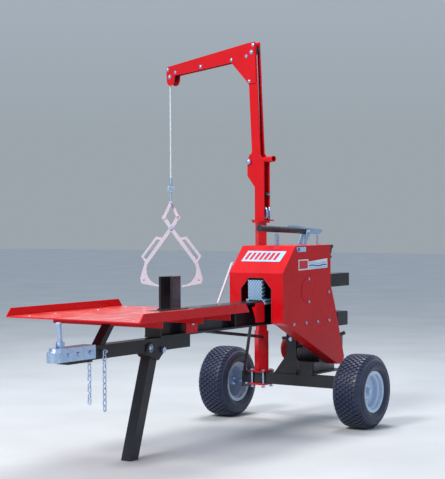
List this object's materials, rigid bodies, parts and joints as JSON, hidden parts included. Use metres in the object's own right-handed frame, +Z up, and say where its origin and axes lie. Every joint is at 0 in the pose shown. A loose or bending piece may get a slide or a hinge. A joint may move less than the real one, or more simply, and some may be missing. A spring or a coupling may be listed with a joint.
{
  "type": "log splitter",
  "caption": "Towable flywheel log splitter: rack-driven push plate on a beam, wedge and table, hooded drive, swing-up jack leg, and a swivelling log-lift crane with tongs.",
  "frame": {"origin": "on the ground under the centre of the axle", "axes": "+X forwards to the hitch, +Y to the belt guard's side, +Z up"},
  "size_m": [2.633, 1.7151, 2.1656],
  "materials": {
    "red_paint": "gloss powder coat",
    "black_paint": "satin powder coat",
    "tyre_rubber": "matte rubber",
    "rim_paint": "silver-white gloss paint",
    "zinc": "bright zinc plate",
    "bare_steel": "ground steel",
    "cast_iron": "as cast",
    "engine_alloy": "cast alloy",
    "recoil_red": "gloss paint",
    "black_plastic": "moulded",
    "belt_rubber": "matte",
    "rope_fibre": "laid synthetic rope",
    "white_paint": "white gloss paint"
  },
  "bodies": {
    "frame": {"spindle_shafts": "zinc", "axle_tube": "black_paint", "main_beam": "black_paint", "tongue_tube": "black_paint", "hitch_coupler": "zinc", "tongue_brace": "black_paint", "work_table": "red_paint", "table_supports": "red_paint", "wedge": "black_paint", "engine_mount": "black_paint", "engine_block": "engine_alloy", "recoil_cover": "recoil_red", "fuel_tank": "black_plastic", "air_cleaner": "black_plastic", "drive_belt": "belt_rubber", "bearing_blocks": "black_paint", "rack_tunnel": "black_paint", "hood_shell": "red_paint", "belt_guard": "red_paint", "access_cover": "red_paint", "hood_bolts": "zinc", "lever_brackets": "zinc", "post_clamp": "red_paint", "crane_post": "red_paint", "frame_stays": "black_paint", "log_hook": "white_paint", "frame_bolts": "zinc"},
    "wheel_left": {"tyre_left": "tyre_rubber", "rim_left": "rim_paint"},
    "wheel_right": {"tyre_right": "tyre_rubber", "rim_right": "rim_paint"},
    "latch": {"coupler_latch": "zinc"},
    "leg": {"jack_leg": "black_paint", "leg_lock_pins": "zinc"},
    "crankshaft": {"crank_pulley": "bare_steel"},
    "rotor": {"flywheel_shaft": "bare_steel", "flywheels": "cast_iron", "driven_pulley": "cast_iron", "pinion": "bare_steel"},
    "ram": {"gear_rack": "bare_steel", "push_plate": "bare_steel"},
    "lever": {"control_lever": "black_plastic", "lever_tail": "zinc"},
    "link": {"lever_link": "zinc"},
    "crane_lower": {"mast_lower": "red_paint"},
    "crane_upper": {"mast_upper": "red_paint", "crane_arm": "red_paint", "sheave_pins": "zinc"},
    "tip_wheel": {"tip_sheave": "black_plastic"},
    "head_wheel": {"head_sheave": "black_plastic"},
    "rope_hang": {"hoist_rope": "rope_fibre"},
    "tong_head": {"rope_thimble": "zinc", "link_pin": "zinc"},
    "tong_carrier": {"tong_pin": "zinc"},
    "jaw_right": {"tong_right": "white_paint"},
    "jaw_left": {"tong_left": "white_paint"},
    "link_l": {"tong_link_left": "white_paint"},
    "link_r": {"tong_link_right": "white_paint"},
    "chain_r": {"chain_right": "zinc"},
    "chain_l": {"chain_left": "zinc"}
  },
  "joints": [
    {"name": "wheel_left_spin", "type": "hinge", "parent": "frame", "child": "wheel_left", "pos_m": [0, -0.4465, 0.203], "axis": [0, 1, 0], "continuous": true},
    {"name": "wheel_right_spin", "type": "hinge", "parent": "frame", "child": "wheel_right", "pos_m": [0, 0.4465, 0.203], "axis": [0, 1, 0], "continuous": true},
    {"name": "latch_lift", "type": "hinge", "parent": "frame", "child": "latch", "pos_m": [1.975, 0, 0.594], "axis": [0, 1, 0], "range_deg": [-50, 0]},
    {"name": "leg_swing", "type": "hinge", "parent": "frame", "child": "leg", "pos_m": [1.272, 0, 0.515], "axis": [0, 1, 0], "range_deg": [0, 108]},
    {"name": "flywheel_spin", "type": "hinge", "parent": "frame", "child": "rotor", "pos_m": [0.11, 0, 0.753], "axis": [0, 1, 0], "continuous": true},
    {"name": "crank_spin", "type": "hinge", "parent": "frame", "child": "crankshaft", "pos_m": [-0.21, 0.1, 0.392], "axis": [0, 1, 0], "continuous": true},
    {"name": "ram_slide", "type": "slide", "parent": "frame", "child": "ram", "axis": [1, 0, 0], "range_m": [0, 0.61]},
    {"name": "lever_lift", "type": "hinge", "parent": "frame", "child": "lever", "pos_m": [-0.158, 0, 1.072], "axis": [0, -1, 0], "range_deg": [0, 12]},
    {"name": "link_turn", "type": "hinge", "parent": "lever", "child": "link", "pos_m": [-0.306, 0, 1.068], "axis": [0, -1, 0], "range_deg": [-12, 0]},
    {"name": "crane_swivel", "type": "hinge", "parent": "frame", "child": "crane_lower", "pos_m": [0, -0.209, 1.136], "axis": [0, 0, 1], "range_deg": [-60, 110]},
    {"name": "crane_fold", "type": "hinge", "parent": "crane_lower", "child": "crane_upper", "pos_m": [-0.01645, -0.27498, 1.48], "axis": [0.9703, -0.2419, 0], "range_deg": [0, 30]},
    {"name": "tip_sheave_turn", "type": "hinge", "parent": "crane_upper", "child": "tip_wheel", "pos_m": [-0.19147, -0.97696, 2.02325], "axis": [0.9703, -0.2419, 0], "continuous": true},
    {"name": "head_sheave_turn", "type": "hinge", "parent": "crane_upper", "child": "head_wheel", "pos_m": [-0.0114, -0.25473, 2.10824], "axis": [0.9703, -0.2419, 0], "continuous": true},
    {"name": "rope_plumb", "type": "hinge", "parent": "crane_upper", "child": "rope_hang", "pos_m": [-0.19776, -1.00219, 2.02325], "axis": [0.9703, -0.2419, 0], "range_deg": [-30, 0]},
    {"name": "hoist", "type": "slide", "parent": "rope_hang", "child": "tong_head", "axis": [0, 0, 1], "range_m": [0, 0.45], "deforming": ["hoist_rope"]},
    {"name": "tong_right_open", "type": "hinge", "parent": "tong_carrier", "child": "jaw_right", "pos_m": [-0.19776, -1.00219, 1.092], "axis": [0.866, 0.5, 0], "range_deg": [0, 22]},
    {"name": "tong_left_open", "type": "hinge", "parent": "tong_carrier", "child": "jaw_left", "pos_m": [-0.19776, -1.00219, 1.092], "axis": [0.866, 0.5, 0], "range_deg": [-22, 0]},
    {"name": "tong_rise", "type": "slide", "parent": "tong_head", "child": "tong_carrier", "axis": [0, 0, 1], "range_m": [0, 0.03513]},
    {"name": "link_left_open", "type": "hinge", "parent": "tong_head", "child": "link_l", "pos_m": [-0.19776, -1.00219, 1.249], "axis": [0.866, 0.5, 0], "range_deg": [-20, 0]},
    {"name": "link_right_open", "type": "hinge", "parent": "tong_head", "child": "link_r", "pos_m": [-0.19776, -1.00219, 1.249], "axis": [0.866, 0.5, 0], "range_deg": [0, 20]},
    {"name": "chain_right_swing", "type": "hinge", "parent": "frame", "child": "chain_r", "pos_m": [1.72, 0.046, 0.545], "axis": [0, 1, 0], "range_deg": [-30, 30]},
    {"name": "chain_left_swing", "type": "hinge", "parent": "frame", "child": "chain_l", "pos_m": [1.72, -0.046, 0.545], "axis": [0, 1, 0], "range_deg": [-30, 30]}
  ],
  "couplings": [
    {"joint": "crank_spin", "follows": "flywheel_spin", "ratio": 4.25},
    {"joint": "link_turn", "follows": "lever_lift", "ratio": -1},
    {"joint": "rope_plumb", "follows": "crane_fold", "ratio": -1},
    {"joint": "tong_left_open", "follows": "tong_right_open", "ratio": -1},
    {"joint": "tong_rise", "follows": "tong_right_open", "m_per_rad": 0.088896},
    {"joint": "link_left_open", "follows": "tong_right_open", "ratio": -0.66645},
    {"joint": "link_right_open", "follows": "tong_right_open", "ratio": 0.66645}
  ]
}
